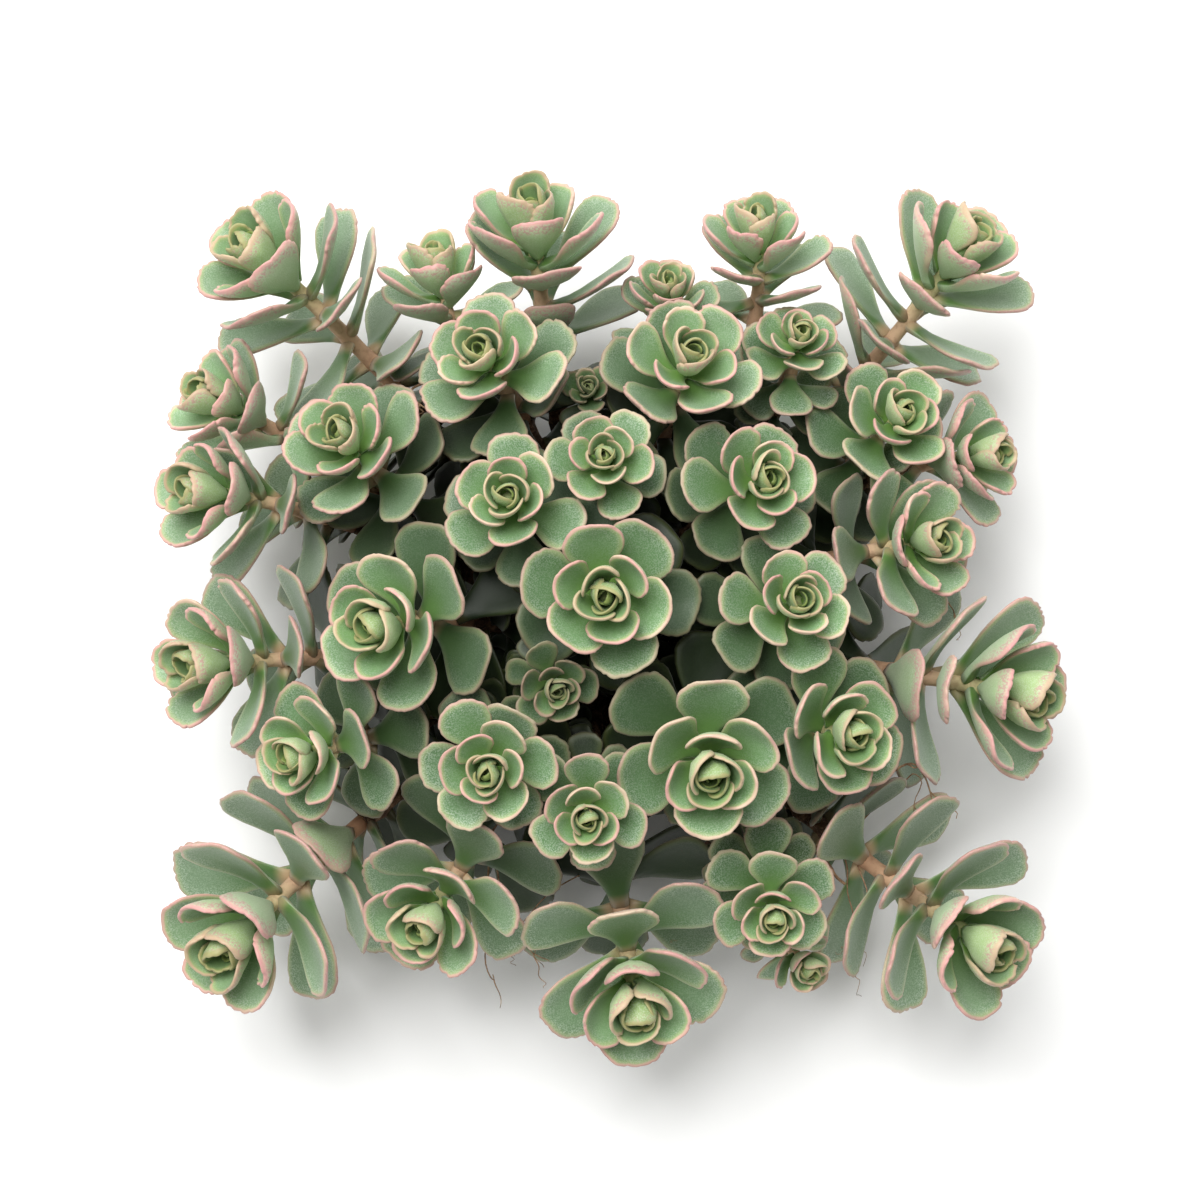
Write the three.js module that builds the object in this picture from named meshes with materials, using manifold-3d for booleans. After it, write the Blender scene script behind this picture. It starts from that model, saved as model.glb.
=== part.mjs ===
// A clump of broad-leaved stonecrop, lifted with its woody crown and free of soil.
// Each leafy stem ends in a rosette; its fleshy, spoon-shaped leaves stand in whorls of three.
// Millimetres, +Z up. The crown's flat underside is on z = 0, centred on the origin.

import * as THREE from "three";
import Module from "manifold-3d";

const wasm = await Module();
wasm.setup();

const SEED = 20261;
const GAP = 0.3;
const UP = new THREE.Vector3(0, 0, 1);

// One row a leafy stem: the tip's x, y and z, the lean from upright, the heading of the lean,
// the azimuth of the even whorls, the size, the number of whorls, and how drawn out the stem is.
const STEMS = [
  [1, -7, 100, 16, 270, 45, 1.06, 7, 1],
  [-22, 18, 96, 6, 170, 98, 0.85, 7, 1],
  [1, 28, 94, 3, 90, 50, 0.73, 7, 1],
  [40, 23, 91, 17, 350, 63, 0.88, 7, 1],
  [47, -6, 92, 12, 14, 45, 0.85, 7, 1],
  [-54, -12, 88, 33, 201, 30, 1.1, 7, 1.05],
  [-10, -27, 84, 28, 294, 112, 0.55, 5, 1],
  [-26, -47, 91, 14, 273, 0, 0.82, 7, 1],
  [-3, -58, 90, 18, 271, 95, 0.72, 6, 1],
  [26, -48, 91, 28, 273, 85, 1.1, 8, 1],
  [60, -37, 83, 25, 338, 95, 1.03, 8, 1],
  [-29, 56, 84, 16, 158, 96, 0.92, 7, 1.1],
  [22, 55, 85, 13, 55, 105, 0.97, 8, 1.1],
  [49, 63, 76, 19, 83, 90, 0.68, 6, 1],
  [74, 44, 73, 13, 41, 115, 0.9, 8, 1],
  [-63, 37, 79, 20, 143, 22, 0.95, 8, 1.1],
  [-3, 51, 68, 3, 170, 100, 0.45, 4, 1],
  [-74, -41, 74, 38, 200, 10, 0.92, 7, 1],
  [-42, -81, 71, 37, 242, 0, 1.02, 8, 1.1],
  [41, -80, 73, 24, 266, 85, 0.74, 7, 1],
  [81, 11, 76, 35, 353, 5, 0.92, 8, 1.15],
  [17, 77, 70, 29, 92, 25, 0.65, 5, 1.1],
  [9, -101, 69, 42, 280, 95, 1.15, 8, 1.1],
  [-17, 96, 70, 44, 96, 40, 1.15, 7, 1.15],
  [39, 93, 68, 43, 99, 5, 0.88, 7, 1.15],
  [-41, 86, 62, 55, 100, 20, 0.9, 5, 1.1],
  [92, 89, 66, 42, 49, 114, 1.1, 9, 1.2],
  [-87, 87, 67, 42, 148, 19, 1.15, 9, 1.2],
  [-98, 51, 60, 49, 161, 93, 0.9, 6, 1.2],
  [-99, 25, 68, 46, 183, 52, 1, 8, 1.2],
  [-98, -18, 68, 48, 191, 63, 1.05, 8, 1.2],
  [-89, -86, 65, 45, 233, 105, 1.2, 8, 1.2],
  [93, -86, 65, 45, 320, 87, 1.15, 8, 1.2],
  [103, -26, 68, 54, 341, 60, 1.15, 8, 1.2],
  [97, 36, 60, 47, 354, 65, 0.85, 6, 1.15],
  [51, -91, 52, 44, 305, 10, 0.58, 4, 1],
];

// One row a whorl, youngest first: how far down the stem it stands, leaf length and width, the leaf's
// angle from the stem at its foot and at its tip, and half the arc that it is cupped to.
const WHORLS = [
  [7, 8, 6, 40, -8, 75],
  [8.5, 11, 10, 50, 6, 65],
  [10.5, 14.5, 13, 58, 18, 50],
  [13.5, 17, 15, 70, 38, 32],
  [18, 19.5, 16, 80, 58, 18],
  [24, 20.5, 16, 90, 75, 12],
  [31, 20.5, 16, 98, 85, 10],
  [38, 20, 16, 98, 85, 10],
  [45, 19, 15.5, 98, 85, 10],
];
const LEAVES_A_WHORL = 3;
const FIRST_BLADE = 2;
const STAGGER = 0.8;
const DRAW = { azimuth: 8, length: 0.06, width: 0.05, angle: 5 };

// How much slimmer and more upright the leaves of a drawn-out stem are, less so below its middle, and how
// much further apart its whorls stand.
const SLIM = 0.3;
const UPRIGHT = 1;
const MIDDLE_WHORL = 5;
const STRETCH = 0.5;

// Leaf section and outline. A tooth or a notch is given by its angle round the leaf's end and its reach.
const LEAF_THICK = 2.3;
const SOCKET_HALF = 0.8;
const NECK_SHARE = 0.26;
const ROUND_SHARE = 0.4;
const TEETH = [
  [22, 1],
  [56, 0.93],
  [90, 1.02],
  [124, 0.93],
  [158, 1],
];
const WAIST_SHARE = 0.5;

// Stems: the green, leafy end and the woody branch below it.
const ROOT_SHARE = 0.16;
const ROOT_HEIGHT = 15;
const BEND_SHARE = 0.6;
const CHORDS = 64;
const FOOT_RUN = 7;
const STEM_SIDES = 6;
const NECK_RUN = 11;
const NECK_RADIUS = 1.5;
const STEM_RADIUS = 2.1;
const BRANCH_SIDES = 4;
const BRANCH_RADIUS = 3;

// The bud of the two youngest whorls: how far down its rings stand, and their radii.
const BUD = [
  [8.6, 2.6],
  [5, 4.5],
  [0.4, 4.2],
];
const BUD_HOLLOW = 2;

// The crown and its roots.
const CROWN_SIDES = 12;
const CROWN_PROFILE = [
  [22, 0],
  [25, 5],
  [23, 12],
  [16, 20],
  [8, 24],
];
const CROWN_TOP = 25;
const ROOTS = 7;
const ROOT_REACH = 46;
const ROOT_PROFILE = [
  [0.2, 9, 6],
  [0.55, 5, 4.6],
  [0.8, 2.2, 3],
  [1, 0.9, 1.6],
];
const COARSE = 0.3;

// Clearances that the leaves are settled with.
const SKIN = 0.45;
const SAMPLE_STEP = 1.7;
const CELL = 5;
const FLOOR = 0.5;
const TOUCH = 1e-6;
const BUD_TOUCH = 0.05;
const SHRINKS = [1, 0.86, 0.72, 0.6];
const FOLDS = [0, -10, 10, -20, 20, -30, 30, -40, 40];
const SWINGS = [0, 14, -14];

const radians = THREE.MathUtils.degToRad;

// A repeatable draw in -1..1 from whole numbers.
function draw(...keys) {
  let hash = SEED;
  for (const key of keys) {
    hash = Math.imul(hash ^ (key + 40503), 0x85ebca6b);
    hash ^= hash >>> 13;
    hash = Math.imul(hash, 0xc2b2ae35);
    hash ^= hash >>> 16;
  }
  return (hash >>> 0) / 2147483648 - 1;
}

// The horizontal direction of an azimuth in degrees, tipped over as +Z is tipped onto the axis.
function spoke(axis, azimuth) {
  const flat = new THREE.Vector3(Math.cos(radians(azimuth)), Math.sin(radians(azimuth)), 0);
  const share = axis.dot(flat) / (1 + axis.z);
  return flat.addScaledVector(axis, -share).addScaledVector(UP, -share);
}

// How far down its stem a whorl stands.
function whorlRun({ size, drawn }, whorl) {
  const [run] = WHORLS[whorl];
  const [first] = WHORLS[FIRST_BLADE];
  return (run + STRETCH * (drawn - 1) * Math.max(0, run - first)) * size;
}

function readStem(row, index) {
  const [x, y, z, lean, heading, turn, size, whorls, drawn] = row;
  const tip = new THREE.Vector3(x, y, z);
  const root = new THREE.Vector3(ROOT_SHARE * x, ROOT_SHARE * y, ROOT_HEIGHT);
  const [level, high] = [Math.sin(radians(lean)), Math.cos(radians(lean))];
  const axis = new THREE.Vector3(level * Math.cos(radians(heading)), level * Math.sin(radians(heading)), high);
  const bend = tip.clone().addScaledVector(axis, -BEND_SHARE * tip.distanceTo(root));
  const curve = new THREE.QuadraticBezierCurve3(tip, bend, root);
  const runs = [0];
  let last = tip;
  for (let i = 1; i <= CHORDS; i += 1) {
    const next = curve.getPoint(i / CHORDS);
    runs.push(runs[i - 1] + next.distanceTo(last));
    last = next;
  }
  const foot = whorlRun({ size, drawn }, whorls - 1) + FOOT_RUN;
  return { index, curve, runs, foot, turn, size, whorls, drawn, leaves: [] };
}

// The place on a stem's centre line a given run down from its tip, and the upward direction there.
function onStem(stem, run) {
  let i = 1;
  while (i < CHORDS && stem.runs[i] < run) {
    i += 1;
  }
  const share = (run - stem.runs[i - 1]) / (stem.runs[i] - stem.runs[i - 1]);
  const t = (i - 1 + share) / CHORDS;
  return { at: stem.curve.getPoint(t), axis: stem.curve.getTangent(t).negate() };
}

function stemRadius(stem, run) {
  const neck = NECK_RUN * stem.size;
  const share = Math.min(1, Math.max(0, (run - neck) / (stem.foot - neck)));
  const thin = NECK_RADIUS * stem.size;
  return thin + (STEM_RADIUS - thin) * share;
}

function makeLeaf(stem, whorl, which, shrink, fold, swing) {
  const [, length, width, low, high, cup] = WHORLS[whorl];
  const run = whorlRun(stem, whorl);
  const keys = [stem.index, whorl, which];
  const { at, axis } = onStem(stem, run + STAGGER * (which - 1) * stem.size);
  const azimuth = stem.turn + 120 * which + 60 * whorl + DRAW.azimuth * draw(...keys, 1) + swing;
  const radial = spoke(axis, azimuth);
  const past = stem.drawn - 1;
  const upright = 1 - UPRIGHT * past * Math.min(1, MIDDLE_WHORL / whorl) ** 2;
  const slim = 1 - SLIM * past;
  const long = length * stem.size * stem.drawn * shrink * (1 + DRAW.length * draw(...keys, 2));
  const wide = width * stem.size * slim * shrink * (1 + DRAW.width * draw(...keys, 3));
  return {
    whorl,
    face: faceOf(whorl, which),
    socket: socket(stem, whorl, which),
    foot: at,
    axis,
    radial,
    side: new THREE.Vector3().crossVectors(axis, radial),
    seat: 0.8 * stemRadius(stem, run),
    long,
    wide,
    low: radians(low * upright + fold + DRAW.angle * draw(...keys, 4)),
    bend: radians((high - low) * upright) / long,
    cup: radians(cup) / (wide / 2),
    thick: LEAF_THICK * Math.min(1, 0.45 + long / 36),
    round: long - ROUND_SHARE * wide,
  };
}

function halfWidth(leaf, y) {
  const t = Math.min(1, Math.max(0, y / leaf.round));
  return leaf.wide / 2 * (NECK_SHARE + (1 - NECK_SHARE) * Math.sin(Math.PI / 2 * t ** 1.25) ** 1.6);
}

// A point of the leaf: x across, y along and h above its bent and cupped middle sheet.
function leafPoint(leaf, x, y, h) {
  const angle = leaf.low + leaf.bend * y;
  const rise = (Math.sin(angle) - Math.sin(leaf.low)) / leaf.bend;
  const out = leaf.seat + (Math.cos(leaf.low) - Math.cos(angle)) / leaf.bend;
  const turn = leaf.cup * x;
  const inward = (1 - Math.cos(turn)) / leaf.cup + h * Math.cos(turn);
  const across = Math.sin(turn) / leaf.cup - h * Math.sin(turn);
  return leaf.foot.clone()
    .addScaledVector(leaf.radial, out - inward * Math.cos(angle))
    .addScaledVector(leaf.axis, rise + inward * Math.sin(angle))
    .addScaledVector(leaf.side, across);
}

function ring({ at, axis }, turn, radius, sides) {
  const corners = [];
  for (let i = 0; i < sides; i += 1) {
    corners.push(at.clone().addScaledVector(spoke(axis, turn + 360 * i / sides), radius));
  }
  return corners;
}

// A ring of corners round a stem, turned so that its first face looks along the stem's turn.
function stemRing(stem, run, radius) {
  return ring(onStem(stem, run), stem.turn - 180 / STEM_SIDES, radius, STEM_SIDES);
}

// The two stem rings that a whorl's leaves grow between, lower first.
function whorlRings(stem, whorl) {
  const run = whorlRun(stem, whorl);
  const half = SOCKET_HALF * Math.min(1, stem.size);
  return [run + half, run - half].map((one) => stemRing(stem, one, stemRadius(stem, one)));
}

// The number of the stem face that a leaf grows from.
function faceOf(whorl, which) {
  return (2 * which + whorl) % STEM_SIDES;
}

// That face's corners: lower left, lower right, upper right and upper left, seen from outside.
function socket(stem, whorl, which) {
  const [lower, upper] = whorlRings(stem, whorl);
  const i = faceOf(whorl, which);
  const next = (i + 1) % STEM_SIDES;
  return [lower[i], lower[next], upper[next], upper[i]];
}

// The leaf's surface outside its socket: a thick mid-line, thin rims and a toothed, rounded end.
// The first four points are the socket's corners.
function bladeSurface(leaf) {
  const tip = TEETH.map(([angle, reach]) => {
    const x = leaf.wide / 2 * Math.cos(radians(angle)) * reach;
    const y = leaf.round + (leaf.long - leaf.round) * Math.sin(radians(angle)) * reach;
    return leafPoint(leaf, x, y, 0);
  });
  const waist = WAIST_SHARE * leaf.round;
  const half = halfWidth(leaf, waist);
  const [right, left] = [half, -half].map((x) => leafPoint(leaf, x, waist, 0));
  const [top, bottom] = [0.5, -0.5].map((share) => leafPoint(leaf, 0, leaf.round, share * leaf.thick));
  const points = [...leaf.socket, bottom, top, right, ...tip, left];
  const [under, over, first, last] = [4, 5, 6, points.length - 1];
  const faces = [
    [0, 1, under], [1, first, under], [1, 2, first], [2, over, first],
    [2, 3, over], [3, last, over], [3, 0, last], [0, under, last],
  ];
  for (let i = first; i < last; i += 1) {
    faces.push([over, i + 1, i], [under, i, i + 1]);
  }
  return { points, faces };
}

function solid(points, faces) {
  const vertProperties = new Float32Array(points.flatMap((p) => [p.x, p.y, p.z]));
  const mesh = new wasm.Mesh({ numProp: 3, vertProperties, triVerts: new Uint32Array(faces.flat()) });
  return new wasm.Manifold(mesh);
}

function bladeSolid(leaf) {
  const { points, faces } = bladeSurface(leaf);
  return solid(points, [...faces, [0, 2, 1], [0, 3, 2]]);
}

// Points spread over a leaf's middle sheet, each with the half thickness to keep clear around it.
function leafSamples(leaf) {
  const samples = [];
  const rows = Math.ceil(leaf.long / SAMPLE_STEP);
  for (let i = 2; i <= rows; i += 1) {
    const y = leaf.long * i / rows;
    const past = Math.max(0, y - leaf.round) / (leaf.long - leaf.round);
    const half = halfWidth(leaf, y) * Math.sqrt(Math.max(0, 1 - past * past));
    const columns = Math.max(1, Math.ceil(2 * half / SAMPLE_STEP));
    for (let j = 0; j <= columns; j += 1) {
      const share = 2 * j / columns - 1;
      const clear = SKIN + leaf.thick / 2 * (1 - share * share);
      samples.push({ at: leafPoint(leaf, share * half, y, 0), clear });
    }
  }
  return samples;
}

// The space that is taken so far, kept in cells.
class Taken {
  constructor() {
    this.cells = new Map();
  }

  static cell(at) {
    return [at.x, at.y, at.z].map((value) => Math.floor(value / CELL));
  }

  add(samples, owner) {
    for (const { at, clear } of samples) {
      const key = Taken.cell(at).join();
      if (!this.cells.has(key)) {
        this.cells.set(key, []);
      }
      this.cells.get(key).push({ at, clear, owner });
    }
  }

  blocks(samples, owner) {
    return samples.some((sample) => sample.at.z - sample.clear < FLOOR || this.meets(sample, owner));
  }

  meets({ at, clear }, owner) {
    const [i, j, k] = Taken.cell(at);
    for (let near = 0; near < 27; near += 1) {
      const key = [i + near % 3 - 1, j + Math.floor(near / 3) % 3 - 1, k + Math.floor(near / 9) - 1].join();
      for (const other of this.cells.get(key) ?? []) {
        const reach = clear + other.clear + GAP;
        if (other.owner !== owner && other.at.distanceToSquared(at) < reach * reach) {
          return true;
        }
      }
    }
    return false;
  }
}

function stemSamples(stem) {
  const samples = [];
  for (let run = 1; run < stem.runs[CHORDS] - CROWN_TOP / 2; run += SAMPLE_STEP) {
    const bud = run < NECK_RUN * stem.size ? BUD[1][1] * stem.size : 0;
    const bar = run < stem.foot ? stemRadius(stem, run) : BRANCH_RADIUS;
    samples.push({ at: onStem(stem, run).at, clear: Math.max(bud, bar) + SKIN, woody: run > stem.foot });
  }
  return samples;
}

// A leaf in its own place, or else folded, swung or shortened until it meets no other stem and no leaf
// of its own stem. There is none where nothing helps.
function settledLeaf(taken, stem, core, whorl, which) {
  for (const shrink of SHRINKS) {
    for (const swing of SWINGS) {
      for (const fold of FOLDS) {
        const leaf = makeLeaf(stem, whorl, which, shrink, fold, swing);
        const samples = leafSamples(leaf);
        if (taken.blocks(samples, stem.index)) {
          continue;
        }
        leaf.body = bladeSolid(leaf);
        const clear = leaf.body.intersect(core).volume() < BUD_TOUCH;
        if (clear && stem.leaves.every((other) => leaf.body.intersect(other.body).volume() < TOUCH)) {
          taken.add(samples, stem.index);
          return leaf;
        }
      }
    }
  }
  return null;
}

// Leaves are settled whorl by whorl, the young ones first.
function settle(stems) {
  const taken = new Taken();
  const cores = stems.map((stem) => leafyStem(stem).solid());
  for (const stem of stems) {
    const samples = stemSamples(stem);
    taken.add(samples.filter((one) => one.woody), -1);
    taken.add(samples.filter((one) => !one.woody), stem.index);
  }
  for (let whorl = FIRST_BLADE; whorl < WHORLS.length; whorl += 1) {
    for (const stem of stems.filter((one) => whorl < one.whorls)) {
      for (let which = 0; which < LEAVES_A_WHORL; which += 1) {
        const leaf = settledLeaf(taken, stem, cores[stem.index], whorl, which);
        if (leaf) {
          stem.leaves.push(leaf);
        }
      }
    }
  }
}

// A closed skin, grown ring by ring from a flat end.
class Skin {
  constructor(corners) {
    this.sides = corners.length;
    this.points = [...corners];
    this.faces = [];
    this.start = 0;
    this.below = 0;
    for (let i = 2; i < this.sides; i += 1) {
      this.faces.push([0, i, i - 1]);
    }
  }

  // The four corners of a face between the last two rings.
  corners(i) {
    const next = (i + 1) % this.sides;
    return [this.below + i, this.below + next, this.start + next, this.start + i];
  }

  grow(corners, open = []) {
    this.below = this.start;
    this.start = this.points.length;
    this.points.push(...corners);
    for (let i = 0; i < this.sides; i += 1) {
      if (!open.includes(i)) {
        const [a, b, c, d] = this.corners(i);
        this.faces.push([a, b, c], [a, c, d]);
      }
    }
    return this;
  }

  graft(leaf) {
    const { points, faces } = bladeSurface(leaf);
    const places = this.corners(leaf.face);
    for (const point of points.slice(places.length)) {
      places.push(this.points.push(point) - 1);
    }
    this.faces.push(...faces.map((face) => face.map((i) => places[i])));
  }

  // Ends in a point.
  point(point) {
    const top = this.points.push(point) - 1;
    for (let i = 0; i < this.sides; i += 1) {
      this.faces.push([this.start + i, this.start + (i + 1) % this.sides, top]);
    }
    return this;
  }

  // Ends in a flat face.
  flat() {
    for (let i = 2; i < this.sides; i += 1) {
      this.faces.push([this.start, this.start + i - 1, this.start + i]);
    }
    return this;
  }

  solid() {
    return solid(this.points, this.faces);
  }
}

function leafyStem(stem) {
  const skin = new Skin(stemRing(stem, stem.foot, STEM_RADIUS));
  for (let whorl = stem.whorls - 1; whorl >= FIRST_BLADE; whorl -= 1) {
    const leaves = stem.leaves.filter((leaf) => leaf.whorl === whorl);
    const [lower, upper] = whorlRings(stem, whorl);
    skin.grow(lower);
    skin.grow(upper, leaves.map((leaf) => leaf.face));
    leaves.forEach((leaf) => skin.graft(leaf));
  }
  for (const [run, radius] of BUD) {
    skin.grow(stemRing(stem, run * stem.size, radius * stem.size));
  }
  return skin.point(onStem(stem, BUD_HOLLOW * stem.size).at);
}

// The woody part of a stem, from inside the crown to just short of the leafy part.
function branch(stem) {
  const end = stem.foot + GAP;
  const rings = [1, 0.55, 0].map((share) => {
    const radius = STEM_RADIUS + (BRANCH_RADIUS - STEM_RADIUS) * Math.sqrt(share);
    return ring(onStem(stem, end + (stem.runs[CHORDS] - end) * share), stem.turn, radius, BRANCH_SIDES);
  });
  const skin = new Skin(rings[0]);
  rings.slice(1).forEach((corners) => skin.grow(corners));
  return skin.flat().solid();
}

function crown() {
  const rings = CROWN_PROFILE.map(([radius, z], level) => {
    const corners = [];
    for (let i = 0; i < CROWN_SIDES; i += 1) {
      const angle = 2 * Math.PI * i / CROWN_SIDES;
      const reach = radius * (1 + 0.07 * draw(level, i, 11));
      corners.push(new THREE.Vector3(reach * Math.cos(angle), reach * Math.sin(angle), z));
    }
    return corners;
  });
  const skin = new Skin(rings[0]);
  rings.slice(1).forEach((corners) => skin.grow(corners));
  return skin.point(new THREE.Vector3(0, 0, CROWN_TOP)).solid();
}

function root(index) {
  const heading = 360 * (index + 0.25 * draw(index, 21)) / ROOTS;
  const reach = ROOT_REACH * (1 + 0.12 * draw(index, 22));
  const rings = ROOT_PROFILE.map(([share, z, radius], i) => {
    const axis = spoke(UP, heading + 10 * share * draw(index, i, 23));
    const at = axis.clone().multiplyScalar(reach * share).setZ(z);
    return ring({ at, axis }, 0, radius, BRANCH_SIDES);
  });
  const skin = new Skin(rings[0]);
  rings.slice(1).forEach((corners) => skin.grow(corners));
  return skin.flat().solid();
}

// The crown, its roots and the woody branches as one body with a flat underside.
function rootstock(stems) {
  const parts = [crown(), ...stems.map(branch)];
  for (let i = 0; i < ROOTS; i += 1) {
    parts.push(root(i));
  }
  const bodies = wasm.Manifold.union(parts).trimByPlane([0, 0, 1], 0).simplify(COARSE).decompose();
  bodies.sort((a, b) => b.volume() - a.volume());
  const { vertProperties, triVerts } = bodies[0].getMesh();
  return { positions: [...vertProperties], indices: [...triVerts] };
}

function toMesh(name, { positions, indices }, material) {
  const geometry = new THREE.BufferGeometry();
  geometry.setAttribute("position", new THREE.Float32BufferAttribute(positions, 3));
  geometry.setIndex(indices);
  const mesh = new THREE.Mesh(geometry, material);
  mesh.name = name;
  return mesh;
}

const stems = STEMS.map(readStem);
settle(stems);

const clump = new THREE.Group();
clump.name = "stonecrop_clump";
const bark = new THREE.MeshStandardMaterial({ color: 0x6d5242, roughness: 0.9, metalness: 0 });
clump.add(toMesh("rootstock", rootstock(stems), bark));
for (const stem of stems) {
  const green = new THREE.MeshStandardMaterial({ color: 0x6f9470, roughness: 0.6, metalness: 0 });
  const { points, faces } = leafyStem(stem);
  const name = `leafy_stem_${String(stem.index + 1).padStart(2, "0")}`;
  clump.add(toMesh(name, { positions: points.flatMap((p) => p.toArray()), indices: faces.flat() }, green));
}

export default clump;
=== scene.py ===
"""The looks of a stonecrop clump: fine leaves, buds, stems, bark and dry threads, with light and camera.

Shapes are worked out in millimetres, in the frame's axes, and turned into metres when a mesh is made.
"""

import math

import bpy
import numpy as np
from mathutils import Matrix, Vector, kdtree


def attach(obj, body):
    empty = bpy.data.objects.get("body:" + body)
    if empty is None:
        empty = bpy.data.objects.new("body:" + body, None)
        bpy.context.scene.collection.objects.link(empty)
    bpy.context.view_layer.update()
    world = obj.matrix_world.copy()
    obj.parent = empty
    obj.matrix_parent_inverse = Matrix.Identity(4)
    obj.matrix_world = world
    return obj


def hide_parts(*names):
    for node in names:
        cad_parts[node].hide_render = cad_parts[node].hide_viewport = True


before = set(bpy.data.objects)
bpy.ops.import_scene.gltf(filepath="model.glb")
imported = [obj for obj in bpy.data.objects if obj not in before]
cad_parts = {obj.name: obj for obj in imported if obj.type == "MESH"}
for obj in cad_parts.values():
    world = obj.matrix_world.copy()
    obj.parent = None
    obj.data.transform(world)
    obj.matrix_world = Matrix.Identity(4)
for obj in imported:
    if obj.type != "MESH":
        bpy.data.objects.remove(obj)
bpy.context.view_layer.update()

MM = 0.001
SEED = 20261
UP = np.array([0.0, 0.0, 1.0])

# One row a leafy stem, as in the part: the tip's x, y and z, the lean from upright, the heading of the
# lean, the azimuth of the even whorls, the size, the number of whorls, and how drawn out the stem is.
STEMS = [
    (1, -7, 100, 16, 270, 45, 1.06, 7, 1),
    (-22, 18, 96, 6, 170, 98, 0.85, 7, 1),
    (1, 28, 94, 3, 90, 50, 0.73, 7, 1),
    (40, 23, 91, 17, 350, 63, 0.88, 7, 1),
    (47, -6, 92, 12, 14, 45, 0.85, 7, 1),
    (-54, -12, 88, 33, 201, 30, 1.1, 7, 1.05),
    (-10, -27, 84, 28, 294, 112, 0.55, 5, 1),
    (-26, -47, 91, 14, 273, 0, 0.82, 7, 1),
    (-3, -58, 90, 18, 271, 95, 0.72, 6, 1),
    (26, -48, 91, 28, 273, 85, 1.1, 8, 1),
    (60, -37, 83, 25, 338, 95, 1.03, 8, 1),
    (-29, 56, 84, 16, 158, 96, 0.92, 7, 1.1),
    (22, 55, 85, 13, 55, 105, 0.97, 8, 1.1),
    (49, 63, 76, 19, 83, 90, 0.68, 6, 1),
    (74, 44, 73, 13, 41, 115, 0.9, 8, 1),
    (-63, 37, 79, 20, 143, 22, 0.95, 8, 1.1),
    (-3, 51, 68, 3, 170, 100, 0.45, 4, 1),
    (-74, -41, 74, 38, 200, 10, 0.92, 7, 1),
    (-42, -81, 71, 37, 242, 0, 1.02, 8, 1.1),
    (41, -80, 73, 24, 266, 85, 0.74, 7, 1),
    (81, 11, 76, 35, 353, 5, 0.92, 8, 1.15),
    (17, 77, 70, 29, 92, 25, 0.65, 5, 1.1),
    (9, -101, 69, 42, 280, 95, 1.15, 8, 1.1),
    (-17, 96, 70, 44, 96, 40, 1.15, 7, 1.15),
    (39, 93, 68, 43, 99, 5, 0.88, 7, 1.15),
    (-41, 86, 62, 55, 100, 20, 0.9, 5, 1.1),
    (92, 89, 66, 42, 49, 114, 1.1, 9, 1.2),
    (-87, 87, 67, 42, 148, 19, 1.15, 9, 1.2),
    (-98, 51, 60, 49, 161, 93, 0.9, 6, 1.2),
    (-99, 25, 68, 46, 183, 52, 1, 8, 1.2),
    (-98, -18, 68, 48, 191, 63, 1.05, 8, 1.2),
    (-89, -86, 65, 45, 233, 105, 1.2, 8, 1.2),
    (93, -86, 65, 45, 320, 87, 1.15, 8, 1.2),
    (103, -26, 68, 54, 341, 60, 1.15, 8, 1.2),
    (97, 36, 60, 47, 354, 65, 0.85, 6, 1.15),
    (51, -91, 52, 44, 305, 10, 0.58, 4, 1),
]

# One row a whorl, youngest first, as in the part: how far down the stem it stands, leaf length and
# width, the leaf's angle from the stem at its foot and at its tip, and half the arc that it is cupped to.
WHORLS = {
    2: (10.5, 14.5, 13, 58, 18, 50),
    3: (13.5, 17, 15, 70, 38, 32),
    4: (18, 19.5, 16, 80, 58, 18),
    5: (24, 20.5, 16, 90, 75, 12),
    6: (31, 20.5, 16, 98, 85, 10),
    7: (38, 20, 16, 98, 85, 10),
    8: (45, 19, 15.5, 98, 85, 10),
}
LEAVES_A_WHORL = 3

# A leaf's place in its whorl, as in the part: degrees from leaf to leaf and from whorl to whorl, the run
# from leaf to leaf, how deep the foot sits, and the spans of its draws. Drawn-out stems stretch below their
# first whorl, and have slimmer and more upright leaves.
LEAF_TURN, WHORL_TURN = 120, 60
STAGGER = 0.8
SEAT_SHARE = 0.8
DRAW_AZIMUTH = 8
DRAW_LENGTH = 0.06
DRAW_WIDTH = 0.05
DRAW_ANGLE = 5
SLIM = 0.3
UPRIGHT = 1
MIDDLE_WHORL = 5
STRETCH = 0.5

# The bud's leaves, which the part shows as one closed bud. They wrap one another: each is rolled about
# its own length, and one of a whorl curls further over the middle than the next.
BUD_WHORLS = {
    -1: (5.4, 6.2, 5.6, 22, -14, 78),
    0: (6.0, 9.2, 9.6, 33, -18, 76),
    1: (7.4, 11.8, 12.4, 44, 4, 72),
}
BUD_ROLL = 13
BUD_CURL = {-1: (-14, 0, 8), 0: (-16, -4, 6), 1: (-6, 4, 0)}

# The old leaves below the last whorl: how far apart their whorls stand, how long, wide, tilted and cupped
# the leaves are, and how many of them haven't fallen. They get smaller towards the crown, and stay clear of
# the leaves that are already there: each is tried at a few sizes, folds and swings.
OLD_WHORLS = 9
OLD_STEP = 6
OLD_LEAF = (18, 13.5, 100, 94, 14)
OLD_SHARE = 0.9
OLD_CLEAR = 1.9
OLD_TRIES = (
    (1, 0, 0),
    (1, -20, 0),
    (1, 15, 12),
    (0.8, -30, -12),
    (0.8, 10, 0),
    (0.65, -10, 20),
    (0.65, -40, -20),
)
OLD_SHRINK = 0.05

# The sizes, swings and folds that the part tries for a leaf, and how near a corner of its solid has to be.
SHRINKS = (1, 0.86, 0.72, 0.6)
SWINGS = (0, 14, -14)
FOLDS = (0, -10, 10, -20, 20, -30, 30, -40, 40)
MATCH = 0.06

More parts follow.
